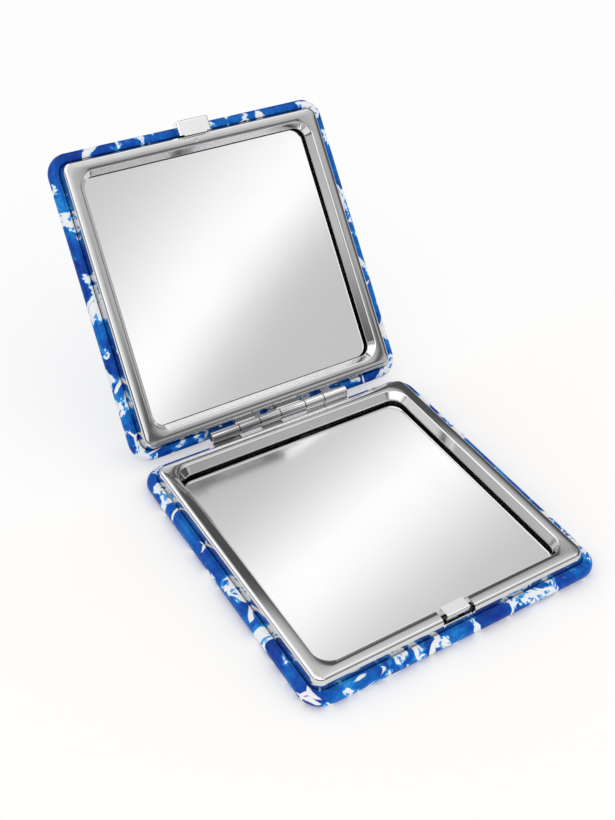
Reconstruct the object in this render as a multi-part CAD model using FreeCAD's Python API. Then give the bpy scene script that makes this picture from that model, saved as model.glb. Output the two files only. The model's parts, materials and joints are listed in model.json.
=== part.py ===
import FreeCAD, Part

import math
import os

# Square folding compact mirror, standing open on its base.
# X runs along the hinge, Y from the free edge to the hinge and Z up. The origin is the middle of the
# base's underside. Lengths are in millimetres and angles in degrees.
# Each half is drawn lying on its outer face. The lid's pieces are then turned over and swung open.
# An inset is a distance inwards from the outermost edge of the case.

# Case
case_width = 65.0
case_depth = 65.0
case_corner = 4.5  # radius of the outer corners, seen from above
open_angle = 128.0  # from shut to the open pose
closed_gap = 0.4  # between the two frames when the case is shut

# Covers: shallow trays with a bead all round
floor_thickness = 0.7
rim_width = 2.0
rim_height = 2.7
rim_round_share = 0.48  # of the rim's height, along its outer edges
rim_inner_round_share = 0.2  # of the rim's width, along its inner edge
hinge_notch_clearance = 0.4  # at each end of the hinge
hinge_notch_sill = 0.3  # what is left of the rim behind the hinge, above the cover's floor

# Frames: pressed sheet with an upright skirt, a steep slope, a flat land and a bevel that holds the glass
frame_gap = 0.1  # between the rim and the skirt
frame_sheet = 0.35
skirt_height = 1.7  # above the cover's floor
slope_width = 0.58
land_width = 2.32
bevel_width = 1.05
bevel_drop = 1.5
shoulder_round_share = 0.3  # of the land's width, along its outer edge
inner_round_share = 0.168  # of the land's width, along its inner edge
opening_corner = 3.6  # radius of the opening's corners at the land

# What lies behind each opening
board_thickness = 0.5
tape_thickness = 0.3
tape_margin = 1.5  # the tape stays this far inside the glass
glass_thickness = 1.15
glass_clearance = 0.05  # between the glass and the catch's guide
glass_corner = 1.5

# Hinge
hinge_length = 33.0
hinge_inset = 0.45
knuckle_shares = (0.195, 0.149, 0.152, 0.185, 0.143, 0.176)  # of the hinge's length, from the left
base_knuckles = (0, 2, 4, 5)
lid_knuckles = (1, 3)
knuckle_gap = 0.2
barrel_radius = 1.2
pin_radius = 0.6
pin_clearance = 0.04
pin_end_round_share = 0.3  # of the pin's radius
leaf_sheet = 0.45
leaf_lift = 0.5  # of the leaf's lower edge above the cover's floor
tongue_clearance = 0.1

# Rivets
rivet_radius = 0.3
rivet_clearance = 0.03
rivet_head_radius = 0.5
rivet_head_height = 0.25
clasp_rivet_radius = 0.15
clasp_rivet_head_radius = 0.22
hinge_rivet_shares = (-0.38, 0.0, 0.38)  # of the hinge's length, from its middle
clasp_rivet_shares = (-0.28, 0.28)  # of the clasp's width, from its middle
clasp_rivet_grip = 1.0  # depth of the blind holes in the clasp

# Catch in the base
catch_notch_width = 7.1
catch_notch_sill = 0.4  # what is left of the slope in front of the catch, above the rim
catch_width = 5.0
catch_rise = 0.3  # above the land
catch_reach = 0.2  # past the land's inner edge
catch_slide_clearance = 0.1  # over the glass
catch_travel = 0.4
nose_setback = 0.3  # behind the skirt's inner face
nose_height = 0.4
nose_round_share = 0.9  # of the nose's height
nose_undercut = 0.25
stem_width = 4.0
stem_depth = 0.6
stem_clearance = 0.1
ear_height = 0.5
ear_reach = 0.15  # past the guide's cheeks
ear_depth_share = 0.8  # of the stem's depth
guide_sheet = 0.2
guide_sill = 0.35  # of the guide's top below the face of the glass
spring_sheet = 0.12
spring_height = 0.7
spring_span_share = 0.86  # of the stem's width
spring_clearance = 0.02

# Clasp on the lid
clasp_width = 7.5
clasp_reach = 0.8  # past the rim
clasp_lift = 0.1  # above the rim
clasp_thickness = 2.55
clasp_seat = 0.3  # how far in over the frame's slope the clasp sits
clasp_round_share = 0.15  # of the clasp's thickness
hook_width = 5.4
hook_height = 0.3
hook_nose_clearance = 0.1
dimple_radius = 1.6
dimple_depth = 0.12

# Overrun of every cutting shape, and how near two places count as the same
overrun = 1.0
same_place = 0.001

# Places that follow from the sizes above
half_width = case_width / 2
half_depth = case_depth / 2
wall_inset = rim_width + frame_gap
cavity_inset = wall_inset + frame_sheet
land_inset = wall_inset + slope_width
opening_inset = land_inset + land_width
lip_inset = opening_inset + bevel_width
frame_corner = case_corner - wall_inset
land_corner = frame_corner - slope_width
lip_corner = opening_corner - bevel_width
board_top = floor_thickness + board_thickness
tape_top = board_top + tape_thickness
glass_top = tape_top + glass_thickness
lip_top = glass_top + frame_sheet
land_top = lip_top + bevel_drop
land_under = land_top - frame_sheet
knee = floor_thickness + skirt_height
lean = math.atan2(slope_width, land_top - knee)
inner_knee = knee - frame_sheet * math.tan(lean / 2)
slope_shift = frame_sheet * math.tan(math.pi / 4 - lean / 2)
bevel_shift = frame_sheet * math.tan(math.atan2(bevel_drop, bevel_width) / 2)
hinge_y = half_depth - hinge_inset
hinge_z = land_top + closed_gap / 2
tongue_low = hinge_z - barrel_radius
tongue_top = tongue_low + leaf_sheet
wall_back = half_depth - wall_inset
cavity_back = half_depth - cavity_inset
leaf_foot = floor_thickness + leaf_lift
leaf_front = cavity_back - leaf_sheet
nose_inset = cavity_inset + nose_setback
stem_inset = nose_inset + nose_undercut
stem_back_inset = stem_inset + stem_depth
guide_back_inset = stem_back_inset + catch_travel + spring_sheet + stem_clearance
glass_inset = guide_back_inset + guide_sheet + glass_clearance
guide_top = glass_top - guide_sill
stem_foot = floor_thickness + guide_sheet + stem_clearance
ear_margin = (1 - ear_depth_share) * stem_depth / 2
ear_inset = stem_inset + ear_margin
ear_back_inset = stem_back_inset - ear_margin
ear_low = stem_foot + ear_height
ear_top = ear_low + ear_height
clasp_low = rim_height + clasp_lift
clasp_top = clasp_low + clasp_thickness
clasp_back_inset = wall_inset + clasp_seat
clasp_seat_top = knee + clasp_seat / math.tan(lean)
notch_sill = rim_height + catch_notch_sill

X_AXIS = FreeCAD.Vector(1, 0, 0)
Y_AXIS = FreeCAD.Vector(0, 1, 0)
Z_AXIS = FreeCAD.Vector(0, 0, 1)
SLOPE_OUT = FreeCAD.Vector(0, -math.cos(lean), math.sin(lean))  # square to the slope on the free edge
QUARTER_TURN = 90
HALF_TURN = 180


def point(x, y, z):
    return FreeCAD.Vector(x, y, z)


def block(x_range, y_range, z_range):
    """Box between the given lowest and highest coordinates."""
    low = point(x_range[0], y_range[0], z_range[0])
    return Part.makeBox(x_range[1] - x_range[0], y_range[1] - y_range[0], z_range[1] - z_range[0], low)


def front_block(width, inset_range, z_range):
    """Box centred on the free edge, between two insets from it."""
    y_range = (inset_range[0] - half_depth, inset_range[1] - half_depth)
    return block((-width / 2, width / 2), y_range, z_range)


def rod(radius, start, length, direction):
    return Part.makeCylinder(radius, length, start, direction)


def outline(inset, corner, z):
    """Closed wire of the case's plan, drawn in by the inset, with rounded corners."""
    reach_x = half_width - inset - corner
    reach_y = half_depth - inset - corner
    centres = ((reach_x, reach_y), (-reach_x, reach_y), (-reach_x, -reach_y), (reach_x, -reach_y))
    arcs = []
    for turn, (x, y) in enumerate(centres):
        start = turn * QUARTER_TURN
        arcs.append(Part.makeCircle(corner, point(x, y, z), Z_AXIS, start, start + QUARTER_TURN))
    edges = []
    for arc, following in zip(arcs, arcs[1:] + arcs[:1]):
        edges.append(arc)
        edges.append(Part.makeLine(arc.lastVertex().Point, following.firstVertex().Point))
    return Part.Wire(edges)


def slab(inset, corner, z_low, z_high):
    """Plate with the case's plan, drawn in by the inset."""
    return Part.Face(outline(inset, corner, z_low)).extrude(point(0, 0, z_high - z_low))


def funnel(shift, z_low, z_high):
    """Solid that fills the bevelled opening, with its side shifted outwards."""
    low = outline(lip_inset - shift, lip_corner + shift, z_low)
    high = outline(opening_inset - shift, opening_corner + shift, z_high)
    return Part.makeLoft([low, high], True, True)


def skirt_and_slope(insets, corners, levels):
    """Solid with an upright skirt and a slope above it, given at the skirt and at the slope's top."""
    bottom, bend, top = levels
    skirt = slab(insets[0], corners[0], bottom, bend)
    wires = [outline(insets[0], corners[0], bend), outline(insets[1], corners[1], top)]
    return skirt.fuse(Part.makeLoft(wires, True, True)).removeSplitter()


def strip(section, x_range):
    """Solid of one section, given as pairs of Y and Z, drawn along X."""
    corners = [point(x_range[0], y, z) for y, z in section]
    face = Part.Face(Part.makePolygon(corners + corners[:1]))
    return face.extrude(point(x_range[1] - x_range[0], 0, 0))


def inner_slope_inset(z):
    """Inset of the slope's inner face at one height."""
    return cavity_inset + (z - inner_knee) * math.tan(lean)


def outer_slope_inset(z):
    """Inset of the slope's outer face at one height."""
    return wall_inset + (z - knee) * math.tan(lean)


def level_edges(shape, height):
    """Edges that lie wholly at one height."""
    found = []
    for edge in shape.Edges:
        box = edge.BoundBox
        if abs(box.ZMin - height) < same_place and abs(box.ZMax - height) < same_place:
            found.append(edge)
    return found


def edges_inside(edges, inset):
    """Those edges that lie no further out than the inset."""
    reach_x = half_width - inset + same_place
    reach_y = half_depth - inset + same_place
    found = []
    for edge in edges:
        box = edge.BoundBox
        if max(box.XMax, -box.XMin) < reach_x and max(box.YMax, -box.YMin) < reach_y:
            found.append(edge)
    return found


def land_wires(shape):
    """Outer and inner edges of the frame's flat land."""
    for face in shape.Faces:
        box = face.BoundBox
        if abs(box.ZMin - land_top) < same_place and abs(box.ZMax - land_top) < same_place:
            outer = face.OuterWire
            inner = [edge for wire in face.Wires if not wire.isSame(outer) for edge in wire.Edges]
            return outer.Edges, inner
    raise RuntimeError("the frame has no land")


def knuckle_spans(chosen):
    """Start and end along X of the chosen knuckles, with half a gap taken off each end."""
    spans = []
    start = -hinge_length / 2
    for number, share in enumerate(knuckle_shares):
        end = start + share * hinge_length
        if number in chosen:
            spans.append((start + knuckle_gap / 2, end - knuckle_gap / 2))
        start = end
    return spans


def turned_over(spans):
    """The same spans for a half that will be turned over, which swaps left and right."""
    return [(-end, -start) for start, end in spans]


def hinge_rivet_places():
    height = (leaf_foot + inner_knee) / 2
    return [point(share * hinge_length, 0, height) for share in hinge_rivet_shares]


def clasp_rivet_places():
    """Where the clasp's rivets pass through the outer face of the lid's slope."""
    height = (clasp_low + clasp_seat_top) / 2
    y = outer_slope_inset(height) - half_depth
    return [point(share * clasp_width, y, height) for share in clasp_rivet_shares]


def cover():
    body = slab(0, case_corner, 0, rim_height)
    bead = rim_round_share * rim_height
    body = body.makeFillet(bead, level_edges(body, 0) + level_edges(body, rim_height))
    body = body.cut(slab(rim_width, case_corner - rim_width, floor_thickness, rim_height + overrun))
    inner_edges = edges_inside(level_edges(body, rim_height), rim_width)
    body = body.makeFillet(rim_inner_round_share * rim_width, inner_edges)
    reach = hinge_length / 2 + hinge_notch_clearance
    sill = floor_thickness + hinge_notch_sill
    notch = block((-reach, reach), (wall_back, half_depth + overrun), (sill, rim_height + overrun))
    return body.cut(notch)


def bare_frame():
    """Skirt, slope, land and bevel of one sheet, before any slots."""
    levels = (floor_thickness, knee, land_top)
    body = skirt_and_slope((wall_inset, land_inset), (frame_corner, land_corner), levels)
    inner_insets = (cavity_inset, land_inset + slope_shift)
    inner_corners = (frame_corner - frame_sheet, land_corner - slope_shift)
    cavity = skirt_and_slope(inner_insets, inner_corners, (floor_thickness, inner_knee, land_under))
    cavity = cavity.cut(funnel(bevel_shift, glass_top, land_under))
    lip_hole = slab(lip_inset, lip_corner, glass_top, lip_top)
    for hollow in (cavity, lip_hole, funnel(0, lip_top, land_top)):
        body = body.cut(hollow)
    outer, inner = land_wires(body)
    body = body.makeFillet(shoulder_round_share * land_width, outer)
    outer, inner = land_wires(body)
    return body.makeFillet(inner_round_share * land_width, inner)


def frame_with_hinge_slots(spans):
    body = bare_frame()
    for start, end in spans:
        slot = block(
            (start - tongue_clearance, end + tongue_clearance),
            (cavity_back - overrun, wall_back + overrun),
            (tongue_low - tongue_clearance, tongue_top + tongue_clearance),
        )
        body = body.cut(slot)
    for place in hinge_rivet_places():
        start = place + point(0, cavity_back - overrun, 0)
        hole = rod(rivet_radius + rivet_clearance, start, frame_sheet + 2 * overrun, Y_AXIS)
        body = body.cut(hole)
    return body


def base_frame():
    body = frame_with_hinge_slots(knuckle_spans(base_knuckles))
    over_sill = ((wall_inset - overrun, land_inset), (notch_sill, land_top + overrun))
    behind_slope = ((land_inset, lip_inset + overrun), (guide_top, land_top + overrun))
    for insets, heights in (over_sill, behind_slope):
        body = body.cut(front_block(catch_notch_width, insets, heights))
    return body


def lid_frame():
    body = frame_with_hinge_slots(turned_over(knuckle_spans(lid_knuckles)))
    for place in clasp_rivet_places():
        start = place + SLOPE_OUT * overrun
        length = frame_sheet + 2 * overrun
        body = body.cut(rod(clasp_rivet_radius + rivet_clearance, start, length, -SLOPE_OUT))
    land_middle = land_inset + land_width / 2 - half_depth
    ball_centre = point(0, land_middle, land_top + dimple_radius - dimple_depth)
    return body.cut(Part.makeSphere(dimple_radius, ball_centre))


def backing_board():
    return slab(glass_inset, glass_corner, floor_thickness, board_top)


def mirror_tape():
    return slab(glass_inset + tape_margin, glass_corner, board_top, tape_top)


def mirror_glass():
    return slab(glass_inset, glass_corner, tape_top, glass_top)


def hinge_leaf(spans):
    """Bent plate inside the frame, with a tongue through its slope to each rolled knuckle."""
    top_back = half_depth - inner_slope_inset(tongue_top)
    outer_face = [(cavity_back, leaf_foot), (cavity_back, inner_knee), (top_back, tongue_top)]
    inner_face = [(y - leaf_sheet, z) for y, z in reversed(outer_face)]
    body = strip(outer_face + inner_face, (-hinge_length / 2, hinge_length / 2))
    tongue_start = half_depth - inner_slope_inset(tongue_low) - leaf_sheet
    for start, end in spans:
        tongue = block((start, end), (tongue_start, hinge_y), (tongue_low, tongue_top))
        barrel = rod(barrel_radius, point(start, hinge_y, hinge_z), end - start, X_AXIS)
        body = body.fuse([tongue, barrel])
    bore_start = point(-hinge_length / 2 - overrun, hinge_y, hinge_z)
    body = body.cut(rod(pin_radius + pin_clearance, bore_start, hinge_length + 2 * overrun, X_AXIS))
    for place in hinge_rivet_places():
        start = place + point(0, leaf_front - overrun, 0)
        hole = rod(rivet_radius + rivet_clearance, start, leaf_sheet + 2 * overrun, Y_AXIS)
        body = body.cut(hole)
    return body.removeSplitter()


def hinge_rivets():
    """Rivets that hold a leaf to the inside of the skirt, with a head at both ends."""
    rivets = []
    grip = wall_back - leaf_front
    for place in hinge_rivet_places():
        inside = place + point(0, leaf_front, 0)
        outside = place + point(0, wall_back, 0)
        shank = rod(rivet_radius, inside, grip, Y_AXIS)
        inner_head = rod(rivet_head_radius, inside, rivet_head_height, -Y_AXIS)
        outer_head = rod(rivet_head_radius, outside, rivet_head_height, Y_AXIS)
        rivets.append(shank.fuse([inner_head, outer_head]).removeSplitter())
    return Part.makeCompound(rivets)


def hinge_pin():
    body = rod(pin_radius, point(-hinge_length / 2, hinge_y, hinge_z), hinge_length, X_AXIS)
    ends = [edge for edge in body.Edges if edge.BoundBox.XLength < same_place]
    return body.makeFillet(pin_end_round_share * pin_radius, ends)


def catch_hook():
    """Sliding catch: a block with a nose in the frame's notch, on a stem with two ears."""
    top = land_top + catch_rise
    under = glass_top + catch_slide_clearance
    back = opening_inset + catch_reach
    nose = front_block(catch_width, (nose_inset, back), (top - nose_height, top))
    nose_y = nose_inset - half_depth
    front_edges = [edge for edge in level_edges(nose, top) if abs(edge.BoundBox.YMax - nose_y) < same_place]
    nose = nose.makeFillet(nose_round_share * nose_height, front_edges)
    neck = front_block(catch_width, (stem_inset, back), (under, top - nose_height))
    stem = front_block(stem_width, (stem_inset, stem_back_inset), (stem_foot, under))
    ear_width = stem_width + 2 * (stem_clearance + guide_sheet + ear_reach)
    ears = front_block(ear_width, (ear_inset, ear_back_inset), (ear_low, ear_top))
    return nose.fuse([neck, stem, ears]).removeSplitter()


def catch_guide():
    """Channel that the catch slides in: a foot, two cheeks with windows and a back for the spring."""
    inner_width = stem_width + 2 * stem_clearance
    outer_width = inner_width + 2 * guide_sheet
    insets = (cavity_inset, guide_back_inset + guide_sheet)
    body = front_block(outer_width, insets, (floor_thickness, guide_top))
    hollow_insets = (cavity_inset - overrun, guide_back_inset)
    hollow_heights = (floor_thickness + guide_sheet, guide_top + overrun)
    hollow = front_block(inner_width, hollow_insets, hollow_heights)
    window_insets = (ear_inset - stem_clearance, ear_back_inset + catch_travel + stem_clearance)
    window_heights = (ear_low - stem_clearance, ear_top + stem_clearance)
    window = front_block(outer_width + 2 * overrun, window_insets, window_heights)
    return body.cut(hollow).cut(window)


def catch_spring():
    """Bowed leaf between the guide's back and the catch's stem."""
    reach = spring_span_share * stem_width / 2
    end_y = guide_back_inset - spring_clearance - half_depth
    middle_y = stem_back_inset + spring_clearance - half_depth
    low = guide_top - spring_height
    back_ends = (point(-reach, end_y, low), point(reach, end_y, low))
    front_ends = (point(reach, end_y - spring_sheet, low), point(-reach, end_y - spring_sheet, low))
    back_arc = Part.Arc(back_ends[0], point(0, middle_y + spring_sheet, low), back_ends[1]).toShape()
    front_arc = Part.Arc(front_ends[0], point(0, middle_y, low), front_ends[1]).toShape()
    sides = [Part.makeLine(back_ends[1], front_ends[0]), Part.makeLine(front_ends[1], back_ends[0])]
    face = Part.Face(Part.Wire([back_arc, sides[0], front_arc, sides[1]]))
    return face.extrude(point(0, 0, spring_height))


def lid_clasp():
    """Thumb piece over the lid's rim, seated on the frame, with a hook for the base's catch."""
    front = -clasp_reach - half_depth
    foot = outer_slope_inset(clasp_low) - half_depth
    back = clasp_back_inset - half_depth
    seat = [(foot, clasp_low), (back, clasp_seat_top)]
    section = seat + [(back, clasp_top), (front, clasp_top), (front, clasp_low)]
    body = strip(section, (-clasp_width / 2, clasp_width / 2))
    rounded = [edge for edge in body.Edges if edge.BoundBox.YMin < foot - same_place]
    body = body.makeFillet(clasp_round_share * clasp_thickness, rounded)
    hook_insets = (clasp_back_inset - hook_height, nose_inset - hook_nose_clearance)
    hook = front_block(hook_width, hook_insets, (clasp_top - hook_height, clasp_top))
    body = body.fuse(hook).removeSplitter()
    for place in clasp_rivet_places():
        start = place + SLOPE_OUT * clasp_rivet_grip
        length = clasp_rivet_grip + overrun
        body = body.cut(rod(clasp_rivet_radius + rivet_clearance, start, length, -SLOPE_OUT))
    return body


def clasp_rivets():
    """Rivets from inside the lid's slope into the clasp, square to the slope."""
    rivets = []
    grip = clasp_rivet_grip - rivet_clearance
    for place in clasp_rivet_places():
        head_start = place - SLOPE_OUT * frame_sheet
        shank = rod(clasp_rivet_radius, place + SLOPE_OUT * grip, grip + frame_sheet, -SLOPE_OUT)
        head = rod(clasp_rivet_head_radius, head_start, rivet_head_height, -SLOPE_OUT)
        rivets.append(shank.fuse(head).removeSplitter())
    return Part.makeCompound(rivets)


def opened(shape):
    """Turns a piece of the lid over onto the base, then swings it open about the hinge pin."""
    turned = shape.copy()
    turned.rotate(point(0, 0, hinge_z), Y_AXIS, HALF_TURN)
    turned.rotate(point(0, hinge_y, hinge_z), X_AXIS, -open_angle)
    return turned


nodes = {
    "base_cover": cover(),
    "base_frame": base_frame(),
    "base_backing_board": backing_board(),
    "base_mirror_tape": mirror_tape(),
    "base_mirror": mirror_glass(),
    "base_hinge_leaf": hinge_leaf(knuckle_spans(base_knuckles)),
    "base_hinge_rivets": hinge_rivets(),
    "hinge_pin": hinge_pin(),
    "catch_guide": catch_guide(),
    "catch_spring": catch_spring(),
    "catch_hook": catch_hook(),
    "lid_cover": opened(cover()),
    "lid_frame": opened(lid_frame()),
    "lid_backing_board": opened(backing_board()),
    "lid_mirror_tape": opened(mirror_tape()),
    "lid_mirror": opened(mirror_glass()),
    "lid_hinge_leaf": opened(hinge_leaf(turned_over(knuckle_spans(lid_knuckles)))),
    "lid_hinge_rivets": opened(hinge_rivets()),
    "lid_clasp": opened(lid_clasp()),
    "lid_clasp_rivets": opened(clasp_rivets()),
}

os.makedirs("parts", exist_ok=True)
for name, shape in nodes.items():
    shape.exportStep("parts/" + name + ".step")
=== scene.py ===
import json
import math

import bmesh
import bpy
from mathutils import Matrix, Vector


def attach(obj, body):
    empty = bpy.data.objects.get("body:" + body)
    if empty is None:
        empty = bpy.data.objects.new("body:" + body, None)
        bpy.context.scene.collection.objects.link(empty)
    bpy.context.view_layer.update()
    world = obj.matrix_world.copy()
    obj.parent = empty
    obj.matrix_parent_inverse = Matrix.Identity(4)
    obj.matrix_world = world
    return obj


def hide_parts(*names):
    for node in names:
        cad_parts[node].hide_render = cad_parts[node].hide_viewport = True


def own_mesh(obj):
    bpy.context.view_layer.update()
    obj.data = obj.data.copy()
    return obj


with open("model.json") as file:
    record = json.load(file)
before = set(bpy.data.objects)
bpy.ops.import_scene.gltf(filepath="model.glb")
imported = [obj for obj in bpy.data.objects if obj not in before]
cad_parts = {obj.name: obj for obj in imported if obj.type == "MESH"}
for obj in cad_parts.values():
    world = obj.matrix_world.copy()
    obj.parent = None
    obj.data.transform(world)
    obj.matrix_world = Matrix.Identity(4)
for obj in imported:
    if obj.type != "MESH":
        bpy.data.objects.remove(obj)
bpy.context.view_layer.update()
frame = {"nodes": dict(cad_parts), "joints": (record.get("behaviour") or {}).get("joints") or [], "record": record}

# Lengths are in metres, as in the frame. Textures work in millimetres, by this scale.
MILLIMETRES = 1000.0

# The lid's hinge, and which way the two mirrors face
HINGE = next(joint for joint in frame["joints"] if joint["name"] == "lid_hinge")
HINGE_PLACE = Vector(HINGE["pos_m"])
OPEN_ANGLE = -math.radians(HINGE["range_deg"][0])
BASE_NORMAL = Vector((0.0, 0.0, 1.0))
LID_NORMAL = Vector((0.0, -math.sin(OPEN_ANGLE), -math.cos(OPEN_ANGLE)))

# Camera, read from the photograph's edges
CAMERA_AZIMUTH = math.radians(-33.76)
CAMERA_ELEVATION = math.radians(32.675)
CAMERA_ROLL = math.radians(3.183)
CAMERA_DISTANCE = 0.24138
CAMERA_TARGET = Vector((0.00344, 0.02986, 0.04364))
CAMERA_LENS = 54.42
CAMERA_SHIFT_UP = -0.1829
CAMERA_NEAR = 0.01

BLACK = (0.0, 0.0, 0.0, 1.0)
WHITE = (1.0, 1.0, 1.0, 1.0)
NOISE_RANGE = (0.3, 0.7)  # nearly all values of a noise texture lie in it

# Print of the covers. A pattern has a scale, in cells to the millimetre, and limits that it begins between.
PRINT_BLUES = (
    (0.0, (0.003, 0.016, 0.20)),
    (0.40, (0.001, 0.060, 0.36)),
    (0.70, (0.003, 0.135, 0.50)),
    (1.0, (0.02, 0.30, 0.72)),
)
PRINT_WHITE = (0.80, 0.81, 0.83, 1.0)
PRINT_AZURE = (0.03, 0.30, 0.74, 1.0)
WARP_SCALE = 0.11
WARP_MIDDLE = (0.5, 0.5, 0.5)
WARP_REACH = 9.0  # in millimetres
WASH_SCALE = 0.10
WASH_SHARE = 0.65
STREAK_SCALE = 0.75
STREAK_SHARE = 0.35
SPOT_SCALE = 0.19
SPOT_RIM = (0.53, 0.56)
SPOT_EDGE = (0.56, 0.57)
MARK_SCALE = 0.85
MARK_EDGE = (0.58, 0.62)
VEIN_SCALE = 0.095
VEIN_EDGE = (-0.006, 0.004)
VEIN_WIDTHS = (-0.012, 0.028)
STRAY_SCALE = 0.16
STRAY_LIMITS = (0.47, 0.58)
LACQUER_SCALE = 1.4

# Plated metal: clouding, hair scratches, the hinge's dark streaks along its barrels (painted reflection lines),
# and the satin faces of clasp and catch
FRAME_COLOR = (0.70, 0.70, 0.705, 1.0)
HINGE_COLOR = (0.84, 0.84, 0.845, 1.0)
CATCH_COLOR = (0.90, 0.90, 0.905, 1.0)
CLOUD_SCALE = 0.35
CLOUD_ROUGHNESS = 0.03
CLOUD_TINT = 0.96
SCRATCH_SCALES = (0.3, 6.0, 6.0)
SCRATCH_LIMITS = (0.5, 0.8)
SCRATCH_ROUGHNESS = 0.02
PAINTED_STREAK_SCALES = (0.04, 1.7, 1.7)
PAINTED_STREAK_LIMITS = (0.42, 0.50)
SATIN_LIMITS = (0.90, 0.98)
SATIN_ROUGHNESS = 0.12
SATIN_METALLIC = 0.4

# Dark and light tone of each plain material
RIVET_TONES = ((0.45, 0.45, 0.46), (0.62, 0.62, 0.63))
SPRING_TONES = ((0.30, 0.30, 0.32), (0.45, 0.45, 0.47))
BOARD_TONES = ((0.26, 0.24, 0.21), (0.42, 0.39, 0.35))
FOAM_TONES = ((0.70, 0.70, 0.67), (0.84, 0.84, 0.80))
# The pin is near black: painted shade, which shows as the dark gaps between the hinge's knuckles.
PIN_SHADE_TONES = ((0.06, 0.06, 0.065), (0.11, 0.11, 0.12))

# Mirrors: glass with near-black edges (edge paint and painted shade, seen as the dark line along each mirror's
# edge), and the silver near its back
GLASS_COLOR = (0.987, 0.988, 0.990, 1.0)
GLASS_EDGE_SHADE_COLOR = (0.01, 0.01, 0.01, 1.0)
GLASS_EDGE_SHADE_LIMITS = (0.3, 0.6)
GLASS_INDEX = 1.18
SMEAR_SCALE = 0.12
SMEAR_LIMITS = (0.45, 0.8)
SMEAR_ROUGHNESS = 0.02
SILVER_COLOR = (0.97, 0.97, 0.975, 1.0)
SILVER_DEPTH = 0.0011  # below the top of the glass
SILVER_ROUGHNESS = 0.07
HAZE_SCALE = 0.08
HAZE_ROUGHNESS = 0.02
SAME_PLACE = 1e-6  # points this near are one
BACK_FACING = 0.9  # cosine that tells the back face from the others

# Crown that the pressing leaves on each land, between two insets from the case's edge
HALF_CASE = 0.0325
LAND_TOP = 0.0045
CROWN_INSETS = (0.003091, 0.004865)
CROWN_CORNERS = (0.001409, 0.003735)
CROWN_DROP = 0.000008
CROWN_RISE = 0.000078
CROWN_STEPS = 14
CORNER_SIDES = ((1, 1), (-1, 1), (-1, -1), (1, -1))
CORNER_STEPS = 16
CORNERS_BEFORE_FRONT = 3
NOTCH_HALF_WIDTH = 0.00355
DIMPLE_INSET = 0.00384
DIMPLE_REACH = 0.0009
DIMPLE_STEPS = 18
DIMPLE_RADIUS = 0.003
DIMPLE_LEVEL = 0.00003  # of its lowest point above the flat land

# Floor, with the glowing backdrop that it passes into, and lamp
FLOOR_SIZE = 3.0
FLOOR_DROP = 0.00005
FLOOR_COLOR = (0.975, 0.963, 0.948, 1.0)
FLOOR_GLOW = 0.02
BACKDROP_COLOR = (0.40, 0.40, 0.40, 1.0)
BACKDROP_GLOW = 0.59
BACKDROP_START = (0.026, 0.046)
KEY_PLACE = Vector((-0.30, -0.45, 0.72))
KEY_SIZE = 0.05
KEY_POWER = 0.7

# Levels of light round the case
STRIP_TOP = 1.08
DARK_LEVEL = 0.10
LOW_LEVEL = 0.85
WHITE_LEVEL = 1.45
BEFORE_HIGH = 0.95
BAND_LEVEL = 0.15
# Levels by one part of the direction: across for what lies before, height for the rest
BEFORE_STOPS = ((-0.10, 1.45), (0.12, 0.85), (0.30, 0.42), (0.42, 0.60), (0.60, 0.60), (0.70, 0.12))
BEHIND_STOPS = ((0.40, 0.10), (0.55, 0.18), (0.65, 0.42), (0.73, 0.58), (0.80, 0.75), (0.88, 0.85))
TOP_STOPS = ((0.86, 1.40), (0.94, 0.80))
LEFT_STOPS = ((0.05, 0.15), (0.12, 0.75), (0.25, 0.50), (0.45, 1.45))
DOME_STOPS = ((0.0, 1.32), (0.3, 1.11), (0.7, 0.90), (1.0, 0.80))

# Pale strips that the mirrors show: the axis across one, its middle there, the width of its two flanks,
# and the level away from it
STRIP_BEHIND = {
    "axis": (-0.289, 0.833, -0.472), "middle": 0.010,
    "lower_width": 0.060, "upper_width": 0.049, "low": 0.54,
}
STRIP_BEFORE = {
    "axis": (-0.672, 0.727, 0.144), "middle": -0.710,
    "lower_width": 0.020, "upper_width": 0.061, "low": 0.57,
}

# Where the zones of light begin or end, by parts of the direction: x to the right, y to the back, z up
FRONT_TO_BACK_Y = (-0.15, 0.15)
MIRROR_TOP_Z = (0.77, 0.82)
MIRROR_TOP_Y = (0.40, 0.48)
BEFORE_HIGH_Z = (0.60, 0.78)
BEFORE_BAND_START_Z = (0.40, 0.46)
BEFORE_BAND_END_Z = (0.51, 0.57)
BEFORE_BAND_Y = (-0.72, -0.68)
BEFORE_BAND_X = (0.1, 0.2)
BEHIND_BAND_START_Y = (0.545, 0.575)
BEHIND_BAND_END_Y = (0.65, 0.68)
BEHIND_RIGHT_X = (0.58, 0.70)
BEHIND_LEFT_X = (0.03, 0.16)
LEFT_X = (-0.12, 0.0)
LEFT_DARK_Y = (-0.32, -0.20)
LEFT_DARK_Z = (0.38, 0.48)
HORIZON_BEHIND_Z = (0.14, 0.24)
HORIZON_BEHIND_Y = (-0.06, 0.0)
HORIZON_BEFORE_Z = (0.22, 0.33)
HORIZON_BEFORE_Y = (-0.5, -0.35)
GROUND_Z = (-0.02, 0.0)
OVERHEAD = (0.450, 0.020, 0.893)
OVERHEAD_COSINES = (0.975, 0.990)

# Sockets for colours in a mix node
MIX_SHARE, MIX_FIRST, MIX_SECOND = 0, 6, 7
MIX_RESULT = 2


def add(tree, kind, inputs=None, **settings):
    """Adds a node, with its settings and what goes into its sockets: values or other nodes' outputs."""
    made = tree.nodes.new(kind)
    for name, value in settings.items():
        setattr(made, name, value)
    for socket, value in (inputs or {}).items():
        if isinstance(value, bpy.types.NodeSocket):
            tree.links.new(value, made.inputs[socket])
        else:
            made.inputs[socket].default_value = value
    return made


def maths(tree, operation, *values):
    """Result of an operation on numbers."""
    return add(tree, "ShaderNodeMath", dict(enumerate(values)), operation=operation).outputs[0]


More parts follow.
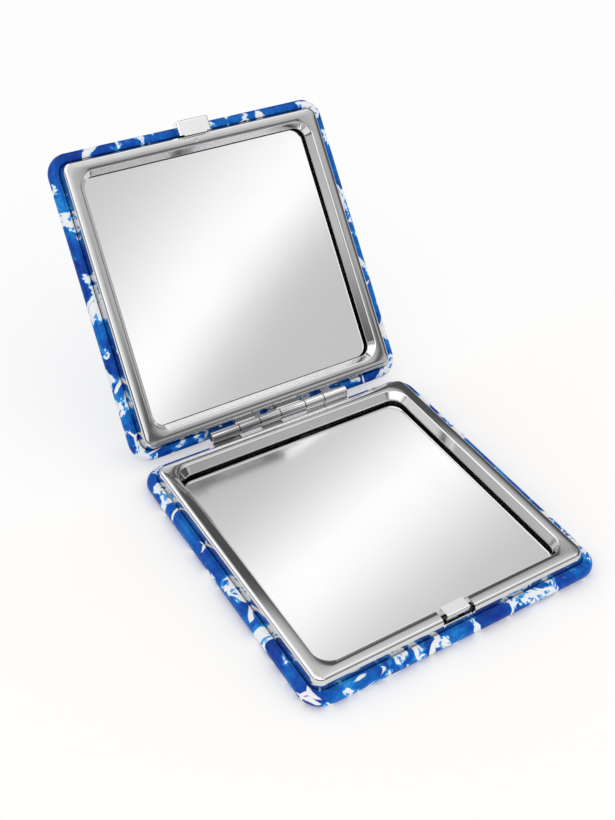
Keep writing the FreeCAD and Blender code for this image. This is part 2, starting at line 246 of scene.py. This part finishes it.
def product(tree, *values):
    """All values multiplied together."""
    result = values[0]
    for value in values[1:]:
        result = maths(tree, "MULTIPLY", result, value)
    return result


def vectors(tree, operation, *values):
    """Result of an operation on vectors."""
    made = add(tree, "ShaderNodeVectorMath", dict(enumerate(values)), operation=operation)
    return made.outputs["Value" if operation == "DOT_PRODUCT" else "Vector"]


def scaled(tree, vector, scale):
    """A vector times a number."""
    made = add(tree, "ShaderNodeVectorMath", {0: vector, "Scale": scale}, operation="SCALE")
    return made.outputs["Vector"]


def stretched(tree, place, scales):
    """A place with each of its three parts scaled by itself."""
    return add(tree, "ShaderNodeMapping", {"Vector": place, "Scale": scales}).outputs[0]


def new_material(name):
    """An empty material, and the tree to fill."""
    material = bpy.data.materials.new(name)
    material.use_nodes = True
    material.node_tree.nodes.clear()
    return material, material.node_tree


def output(tree, shader):
    """Ends a material's tree."""
    add(tree, "ShaderNodeOutputMaterial", {"Surface": shader})


def in_millimetres(tree):
    """Place on the object, in millimetres."""
    return scaled(tree, add(tree, "ShaderNodeTexCoord").outputs["Object"], MILLIMETRES)


def noise(tree, place, scale, detail=2.0, roughness=0.5):
    """Noise texture at a place."""
    inputs = {"Vector": place, "Scale": scale, "Detail": detail, "Roughness": roughness}
    return add(tree, "ShaderNodeTexNoise", inputs)


def spread(tree, value, low, high, to_low=0.0, to_high=1.0):
    """Carries a value from one range to another, and keeps it there."""
    inputs = {0: value, 1: low, 2: high, 3: to_low, 4: to_high}
    return add(tree, "ShaderNodeMapRange", inputs).outputs[0]


def rising(tree, value, limits):
    """0 below both limits, 1 above both, and a share of it between them."""
    return spread(tree, value, *limits)


def falling(tree, value, limits):
    """1 below both limits, 0 above both, and a share of it between them."""
    return spread(tree, value, *limits, 1.0, 0.0)


def ramp(tree, value, stops):
    """Colour that follows a value from 0 to 1 through stops of value and colour."""
    made = add(tree, "ShaderNodeValToRGB", {0: value})
    points = made.color_ramp.elements
    while len(points) < len(stops):
        points.new(0.5)
    for point, (place, color) in zip(points, stops):
        point.position = place
        point.color = (*color, 1.0)
    return made.outputs["Color"]


def graded(tree, value, stops):
    """Grey level that follows a value through stops of value and level, and stays level past the ends."""
    first, last = stops[0][0], stops[-1][0]
    share = spread(tree, value, first, last)
    greys = [((place - first) / (last - first), (level,) * 3) for place, level in stops]
    return ramp(tree, share, greys)


def mixed(tree, share, first, second):
    """Colour between two others."""
    inputs = {MIX_SHARE: share, MIX_FIRST: first, MIX_SECOND: second}
    return add(tree, "ShaderNodeMix", inputs, data_type="RGBA").outputs[MIX_RESULT]


def printed_cover():
    """Lacquered print: streaks of navy, cobalt and azure, white dabs with blue marks, and stray veins."""
    material, tree = new_material("printed_cover")
    place = in_millimetres(tree)
    warp = noise(tree, place, WARP_SCALE, detail=1.5).outputs["Color"]
    warp = vectors(tree, "SUBTRACT", warp, WARP_MIDDLE)
    bent = vectors(tree, "ADD", place, scaled(tree, warp, WARP_REACH))
    wash = noise(tree, bent, WASH_SCALE).outputs["Fac"]
    wash = spread(tree, wash, *NOISE_RANGE, 0.0, WASH_SHARE)
    streak = noise(tree, bent, STREAK_SCALE, detail=4.0, roughness=0.6).outputs["Fac"]
    streak = spread(tree, streak, *NOISE_RANGE, 0.0, STREAK_SHARE)
    blue = ramp(tree, maths(tree, "ADD", wash, streak), PRINT_BLUES)
    spot = noise(tree, bent, SPOT_SCALE, detail=3.0, roughness=0.55).outputs["Fac"]
    mark = noise(tree, bent, MARK_SCALE).outputs["Fac"]
    dab = mixed(tree, rising(tree, mark, MARK_EDGE), PRINT_WHITE, PRINT_AZURE)
    color = mixed(tree, rising(tree, spot, SPOT_RIM), blue, PRINT_AZURE)
    color = mixed(tree, rising(tree, spot, SPOT_EDGE), color, dab)
    cells = {"Vector": bent, "Scale": VEIN_SCALE, "Randomness": 1.0}
    edge = add(tree, "ShaderNodeTexVoronoi", cells, feature="DISTANCE_TO_EDGE").outputs["Distance"]
    stray = noise(tree, place, STRAY_SCALE, detail=1.0).outputs["Fac"]
    width = spread(tree, stray, *STRAY_LIMITS, *VEIN_WIDTHS)
    vein = falling(tree, maths(tree, "SUBTRACT", edge, width), VEIN_EDGE)
    color = mixed(tree, vein, color, PRINT_WHITE)
    waves = noise(tree, place, LACQUER_SCALE, detail=3.0).outputs["Fac"]
    bump = add(tree, "ShaderNodeBump", {"Strength": 0.03, "Distance": 0.0001, "Height": waves})
    shader = add(tree, "ShaderNodeBsdfPrincipled", {
        "Base Color": color, "Roughness": 0.4, "Specular IOR Level": 0.05, "Coat Weight": 0.2,
        "Coat Roughness": 0.04, "Normal": bump.outputs[0],
    })
    output(tree, shader.outputs[0])
    return material


def polished(name, color, roughness, painted_streak_depth=0.0, satin_face=None):
    """Plated metal, clouded and scratched, and where given with dark streaks painted along x as reflection lines,
    or one satin face.
    """
    material, tree = new_material(name)
    place = in_millimetres(tree)
    cloud = noise(tree, place, CLOUD_SCALE, detail=3.0).outputs["Fac"]
    scratch_place = stretched(tree, place, SCRATCH_SCALES)
    scratch = noise(tree, scratch_place, 1.0, detail=4.0, roughness=0.7).outputs["Fac"]
    clouded = spread(tree, cloud, *NOISE_RANGE, 0.0, CLOUD_ROUGHNESS)
    scratched = spread(tree, scratch, *SCRATCH_LIMITS, 0.0, SCRATCH_ROUGHNESS)
    level = maths(tree, "ADD", maths(tree, "ADD", clouded, scratched), roughness)
    # Dark streaks along x: painted reflection lines, as on the hinge's barrels.
    lines = noise(tree, stretched(tree, place, PAINTED_STREAK_SCALES), 1.0).outputs["Fac"]
    painted_streaks = spread(tree, lines, *PAINTED_STREAK_LIMITS, 1.0 - painted_streak_depth, 1.0)
    tint = product(tree, spread(tree, cloud, *NOISE_RANGE, CLOUD_TINT, 1.0), painted_streaks)
    metallic = 1.0
    if satin_face:
        normal = add(tree, "ShaderNodeTexCoord").outputs["Normal"]
        satin = rising(tree, vectors(tree, "DOT_PRODUCT", normal, satin_face), SATIN_LIMITS)
        level = maths(tree, "ADD", level, product(tree, satin, SATIN_ROUGHNESS))
        metallic = spread(tree, satin, 0.0, 1.0, 1.0, SATIN_METALLIC)
    bump = add(tree, "ShaderNodeBump", {"Strength": 0.004, "Distance": 0.00005, "Height": scratch})
    shader = add(tree, "ShaderNodeBsdfPrincipled", {
        "Base Color": mixed(tree, tint, BLACK, color), "Metallic": metallic,
        "Roughness": level, "Normal": bump.outputs[0],
    })
    output(tree, shader.outputs[0])
    return material


def clear_glass(name, face):
    """Glass with faint smears, clear through its faces and near black round its side edges: edge paint and painted
    shade, which show as a dark line along the mirror's edge.
    """
    material, tree = new_material(name)
    smear = noise(tree, in_millimetres(tree), SMEAR_SCALE, detail=3.0).outputs["Fac"]
    normal = add(tree, "ShaderNodeTexCoord").outputs["Normal"]
    facing = maths(tree, "ABSOLUTE", vectors(tree, "DOT_PRODUCT", normal, face))
    # Side faces near black: painted shade for the dark line at the mirror's edge, on top of edge paint.
    clear = rising(tree, facing, GLASS_EDGE_SHADE_LIMITS)
    shader = add(tree, "ShaderNodeBsdfPrincipled", {
        "Base Color": mixed(tree, clear, GLASS_EDGE_SHADE_COLOR, GLASS_COLOR),
        "Roughness": spread(tree, smear, *SMEAR_LIMITS, 0.0, SMEAR_ROUGHNESS),
        "IOR": GLASS_INDEX, "Transmission Weight": 1.0,
    })
    output(tree, shader.outputs[0])
    return material


def silvering():
    """Silver of the mirrors, with a faint haze."""
    material, tree = new_material("mirror_silver")
    haze = noise(tree, in_millimetres(tree), HAZE_SCALE, detail=3.0).outputs["Fac"]
    hazy = SILVER_ROUGHNESS + HAZE_ROUGHNESS
    shader = add(tree, "ShaderNodeBsdfPrincipled", {
        "Base Color": SILVER_COLOR, "Metallic": 1.0,
        "Roughness": spread(tree, haze, *NOISE_RANGE, SILVER_ROUGHNESS, hazy),
    })
    output(tree, shader.outputs[0])
    return material


def plain(name, tones, roughness, scale, metallic=0.0):
    """Inner pieces: a mottled colour between two tones."""
    material, tree = new_material(name)
    dark, light = tones
    mottle = noise(tree, in_millimetres(tree), scale, detail=4.0).outputs["Fac"]
    color = mixed(tree, rising(tree, mottle, NOISE_RANGE), (*dark, 1.0), (*light, 1.0))
    bump = add(tree, "ShaderNodeBump", {"Strength": 0.1, "Distance": 0.00005, "Height": mottle})
    shader = add(tree, "ShaderNodeBsdfPrincipled", {
        "Base Color": color, "Metallic": metallic, "Roughness": roughness, "Normal": bump.outputs[0],
    })
    output(tree, shader.outputs[0])
    return material


SILVER = silvering()
SLOT_MATERIALS = {
    "printed_cover": printed_cover(),
    "polished_frame": polished("polished_frame", FRAME_COLOR, roughness=0.05),
    "hinge_metal": polished("hinge_metal", HINGE_COLOR, roughness=0.06, painted_streak_depth=0.6),
    "catch_metal": polished("catch_metal", CATCH_COLOR, roughness=0.06, satin_face=BASE_NORMAL),
    "rivet_metal": plain("rivet_metal", RIVET_TONES, roughness=0.35, scale=2.0, metallic=1.0),
    "spring_steel": plain("spring_steel", SPRING_TONES, roughness=0.3, scale=1.5, metallic=1.0),
    "backing_board": plain("backing_board", BOARD_TONES, roughness=0.9, scale=1.2),
    "foam_tape": plain("foam_tape", FOAM_TONES, roughness=0.95, scale=3.0),
    "mirror_glass": clear_glass("mirror_glass", BASE_NORMAL),
}
NODE_MATERIALS = {
    # Near-black pin: painted shade for the gaps between the knuckles.
    "hinge_pin": plain("pin_steel_painted_shade", PIN_SHADE_TONES, roughness=0.45, scale=1.5, metallic=1.0),
    "lid_mirror": clear_glass("lid_mirror_glass", LID_NORMAL),
    "lid_clasp": polished("clasp_metal", CATCH_COLOR, roughness=0.06, satin_face=LID_NORMAL),
}

for entry in frame["record"]["subparts"]:
    node_name, slot_name = entry["node"], entry["material_slot"]
    shown = frame["nodes"][node_name].data
    shown.materials.clear()
    shown.materials.append(NODE_MATERIALS.get(node_name, SLOT_MATERIALS[slot_name]))


def placed(name, data):
    """New object in the scene."""
    made = bpy.data.objects.new(name, data)
    bpy.context.scene.collection.objects.link(made)
    return made


def silver_sheet(node, body, normal):
    """Silver film: the back face of the glass, moved to the silver's depth and turned to face the front."""
    work = bmesh.new()
    work.from_mesh(frame["nodes"][node].data)
    bmesh.ops.remove_doubles(work, verts=work.verts, dist=SAME_PLACE)
    top = max(vertex.co.dot(normal) for vertex in work.verts)
    for vertex in work.verts:
        height = vertex.co.dot(normal)
        if height < top - SILVER_DEPTH / 2:
            vertex.co += normal * (top - SILVER_DEPTH - height)
    others = [face for face in work.faces if face.normal.dot(-normal) <= BACK_FACING]
    bmesh.ops.delete(work, geom=others, context="FACES")
    bmesh.ops.reverse_faces(work, faces=work.faces)
    mesh = bpy.data.meshes.new(node + "_silver")
    work.to_mesh(mesh)
    work.free()
    mesh.materials.append(SILVER)
    piece = placed(node + "_silver", mesh)
    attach(piece, body)


def land_ring(share, front_stops):
    """Points round one line of the land, a share of the way in, counter-clockwise from the right."""
    inset = CROWN_INSETS[0] + share * (CROWN_INSETS[1] - CROWN_INSETS[0])
    corner = CROWN_CORNERS[0] + share * (CROWN_CORNERS[1] - CROWN_CORNERS[0])
    reach = HALF_CASE - inset - corner
    points = []
    for number, (x, y) in enumerate(CORNER_SIDES):
        if number == CORNERS_BEFORE_FRONT:
            points += [(stop, inset - HALF_CASE) for stop in front_stops]
        for step in range(CORNER_STEPS + 1):
            angle = (number + step / CORNER_STEPS) * math.pi / 2
            points.append((x * reach + corner * math.cos(angle), y * reach + corner * math.sin(angle)))
    return points


def crown_height(x, y, share, dimpled):
    """Height of the crowned land at one point of its ring."""
    across = 2 * share - 1
    height = LAND_TOP - CROWN_DROP + CROWN_RISE * (1 - across * across)
    if dimpled:
        away = min(math.hypot(x, y + HALF_CASE - DIMPLE_INSET), DIMPLE_RADIUS)
        ball = LAND_TOP + DIMPLE_LEVEL + DIMPLE_RADIUS - math.sqrt(DIMPLE_RADIUS ** 2 - away ** 2)
        height = min(height, ball)
    return height


def crowned_land(name, body, front_stops, place, notched):
    """Strip over a frame's land, higher along its middle: either open at the catch's notch or dimpled."""
    rings = [land_ring(step / CROWN_STEPS, front_stops) for step in range(CROWN_STEPS + 1)]
    count = len(rings[0])
    corners = []
    for number, ring in enumerate(rings):
        share = number / CROWN_STEPS
        corners += [place(Vector((x, y, crown_height(x, y, share, not notched)))) for x, y in ring]
    gap = CORNERS_BEFORE_FRONT * (CORNER_STEPS + 1) if notched else None
    faces = []
    for number in range(CROWN_STEPS):
        outer, inner = number * count, (number + 1) * count
        for step in range(count):
            following = (step + 1) % count
            if step != gap:
                faces.append((outer + step, outer + following, inner + following, inner + step))
    mesh = bpy.data.meshes.new(name)
    mesh.from_pydata(corners, [], faces)
    mesh.shade_smooth()
    mesh.materials.append(SLOT_MATERIALS["polished_frame"])
    piece = placed(name, mesh)
    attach(piece, body)


def opened(point):
    """Where a point of the lid, modelled lying on its outer face, is in the open pose."""
    turned = Vector((-point.x, point.y, 2 * HINGE_PLACE.z - point.z)) - HINGE_PLACE
    return HINGE_PLACE + Matrix.Rotation(-OPEN_ANGLE, 3, "X") @ turned


def pressed_spring():
    """The catch's spring: a copy of its mesh, on the base, in place of the hidden original."""
    piece = placed("catch_spring_leaf", frame["nodes"]["catch_spring"].data.copy())
    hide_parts("catch_spring")
    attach(piece, "base")
    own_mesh(piece)


silver_sheet("base_mirror", "base", BASE_NORMAL)
silver_sheet("lid_mirror", "lid", LID_NORMAL)
notch_stops = (-NOTCH_HALF_WIDTH, NOTCH_HALF_WIDTH)
dimple_stops = [DIMPLE_REACH * (2 * step / DIMPLE_STEPS - 1) for step in range(DIMPLE_STEPS + 1)]
crowned_land("base_frame_land", "base", notch_stops, lambda point: point, notched=True)
crowned_land("lid_frame_land", "lid", dimple_stops, opened, notched=False)
pressed_spring()


def light_strip(tree, way, axis, middle, lower_width, upper_width, low):
    """Level of a soft strip, brightest along its middle and fading to both sides."""
    across = maths(tree, "SUBTRACT", vectors(tree, "DOT_PRODUCT", way, axis), middle)
    width = spread(tree, maths(tree, "GREATER_THAN", across, 0.0), 0.0, 1.0, lower_width, upper_width)
    ratio = maths(tree, "DIVIDE", across, width)
    bell = maths(tree, "EXPONENT", product(tree, ratio, ratio, -1.0))
    return maths(tree, "ADD", product(tree, bell, STRIP_TOP - low), low)


def mirror_studio(tree, way, y, z):
    """What the two mirrors show: a soft pale strip behind the case, a pale top, and a strip before it."""
    behind = light_strip(tree, way, **STRIP_BEHIND)
    before = light_strip(tree, way, **STRIP_BEFORE)
    top = product(tree, rising(tree, z, MIRROR_TOP_Z), falling(tree, y, MIRROR_TOP_Y))
    behind = mixed(tree, top, behind, graded(tree, z, TOP_STOPS))
    return mixed(tree, rising(tree, y, FRONT_TO_BACK_Y), before, behind)


def metal_studio(tree, way, x, y, z):
    """What plated metal shows: pale left and top, dark right and horizon, and greys between."""
    def zone(share, outside, inside):
        return mixed(tree, share, outside, (inside, inside, inside, 1.0))

    before = graded(tree, x, BEFORE_STOPS)
    before = zone(rising(tree, z, BEFORE_HIGH_Z), before, BEFORE_HIGH)
    band = product(
        tree, rising(tree, z, BEFORE_BAND_START_Z), falling(tree, z, BEFORE_BAND_END_Z),
        falling(tree, y, BEFORE_BAND_Y), rising(tree, x, BEFORE_BAND_X),
    )
    before = zone(band, before, BAND_LEVEL)
    behind = graded(tree, z, BEHIND_STOPS)
    band = product(tree, rising(tree, y, BEHIND_BAND_START_Y), falling(tree, y, BEHIND_BAND_END_Y))
    behind = zone(band, behind, DARK_LEVEL)
    behind = zone(rising(tree, x, BEHIND_RIGHT_X), behind, DARK_LEVEL)
    behind = zone(falling(tree, x, BEHIND_LEFT_X), behind, WHITE_LEVEL)
    level = mixed(tree, rising(tree, y, FRONT_TO_BACK_Y), before, behind)
    left = graded(tree, z, LEFT_STOPS)
    low = product(tree, falling(tree, y, LEFT_DARK_Y), falling(tree, z, LEFT_DARK_Z))
    left = zone(low, left, DARK_LEVEL)
    level = mixed(tree, falling(tree, x, LEFT_X), level, left)
    overhead = rising(tree, vectors(tree, "DOT_PRODUCT", way, OVERHEAD), OVERHEAD_COSINES)
    level = zone(overhead, level, WHITE_LEVEL)
    horizon = product(tree, falling(tree, z, HORIZON_BEHIND_Z), rising(tree, y, HORIZON_BEHIND_Y))
    level = zone(horizon, level, DARK_LEVEL)
    horizon = product(tree, falling(tree, z, HORIZON_BEFORE_Z), falling(tree, y, HORIZON_BEFORE_Y))
    level = zone(horizon, level, DARK_LEVEL)
    return zone(falling(tree, z, GROUND_Z), level, LOW_LEVEL)


def studio_world():
    """White to the camera, even soft light, and the studios that mirrors and metal reflect."""
    world = bpy.data.worlds.new("studio")
    bpy.context.scene.world = world
    world.use_nodes = True
    tree = world.node_tree
    tree.nodes.clear()
    way = add(tree, "ShaderNodeTexCoord").outputs["Generated"]
    parts = add(tree, "ShaderNodeSeparateXYZ", {0: way})
    x, y, z = (parts.outputs[axis] for axis in "XYZ")
    path = add(tree, "ShaderNodeLightPath")
    metal = metal_studio(tree, way, x, y, z)
    seen = mixed(tree, path.outputs["Is Transmission Ray"], metal, mirror_studio(tree, way, y, z))
    seen = mixed(tree, path.outputs["Is Diffuse Ray"], seen, graded(tree, z, DOME_STOPS))
    seen = mixed(tree, path.outputs["Is Camera Ray"], seen, WHITE)
    glow = add(tree, "ShaderNodeBackground", {"Color": seen, "Strength": 1.0})
    add(tree, "ShaderNodeOutputWorld", {"Surface": glow.outputs[0]})


def studio_floor():
    """White floor that takes shadows, and glows behind the case."""
    mesh = bpy.data.meshes.new("floor")
    half = FLOOR_SIZE / 2
    corners = [(x * half, y * half, -FLOOR_DROP) for x, y in ((-1, -1), (1, -1), (1, 1), (-1, 1))]
    mesh.from_pydata(corners, [], [(0, 1, 2, 3)])
    floor = placed("floor", mesh)
    material, tree = new_material("floor")
    place = add(tree, "ShaderNodeTexCoord").outputs["Object"]
    depth = add(tree, "ShaderNodeSeparateXYZ", {0: place}).outputs["Y"]
    back = rising(tree, depth, BACKDROP_START)
    color = mixed(tree, back, FLOOR_COLOR, BACKDROP_COLOR)
    matt = add(tree, "ShaderNodeBsdfDiffuse", {"Color": color})
    path = add(tree, "ShaderNodeLightPath")
    seen = maths(tree, "MAXIMUM", path.outputs["Is Camera Ray"], path.outputs["Is Glossy Ray"])
    seen = maths(tree, "MAXIMUM", seen, path.outputs["Is Transmission Ray"])
    strength = product(tree, seen, spread(tree, back, 0.0, 1.0, FLOOR_GLOW, BACKDROP_GLOW))
    glow = add(tree, "ShaderNodeEmission", {"Color": WHITE, "Strength": strength})
    both = add(tree, "ShaderNodeAddShader", {0: matt.outputs[0], 1: glow.outputs[0]})
    output(tree, both.outputs[0])
    mesh.materials.append(material)


def studio_lamp():
    """Small round lamp above the front left, aimed at the origin."""
    data = bpy.data.lights.new("key", "AREA")
    data.shape = "DISK"
    data.size = KEY_SIZE
    data.energy = KEY_POWER
    lamp = placed("key", data)
    lamp.location = KEY_PLACE
    lamp.rotation_euler = (-KEY_PLACE).to_track_quat("-Z", "Y").to_euler()


def studio_camera():
    """Camera at the photograph's place, rolled a little."""
    flat = math.cos(CAMERA_ELEVATION)
    back = Vector((
        math.sin(CAMERA_AZIMUTH) * flat,
        -math.cos(CAMERA_AZIMUTH) * flat,
        math.sin(CAMERA_ELEVATION),
    ))
    level_right = Vector((0.0, 0.0, 1.0)).cross(back).normalized()
    level_up = back.cross(level_right)
    right = level_right * math.cos(CAMERA_ROLL) + level_up * math.sin(CAMERA_ROLL)
    up = back.cross(right)
    turn = Matrix((right, up, back)).transposed().to_4x4()
    data = bpy.data.cameras.new("camera")
    data.lens = CAMERA_LENS
    data.shift_y = CAMERA_SHIFT_UP
    data.clip_start = CAMERA_NEAR
    camera = placed("camera", data)
    camera.matrix_world = Matrix.Translation(CAMERA_TARGET + back * CAMERA_DISTANCE) @ turn
    bpy.context.scene.camera = camera


studio_world()
studio_floor()
studio_lamp()
studio_camera()
bpy.context.scene.view_settings.view_transform = "Standard"
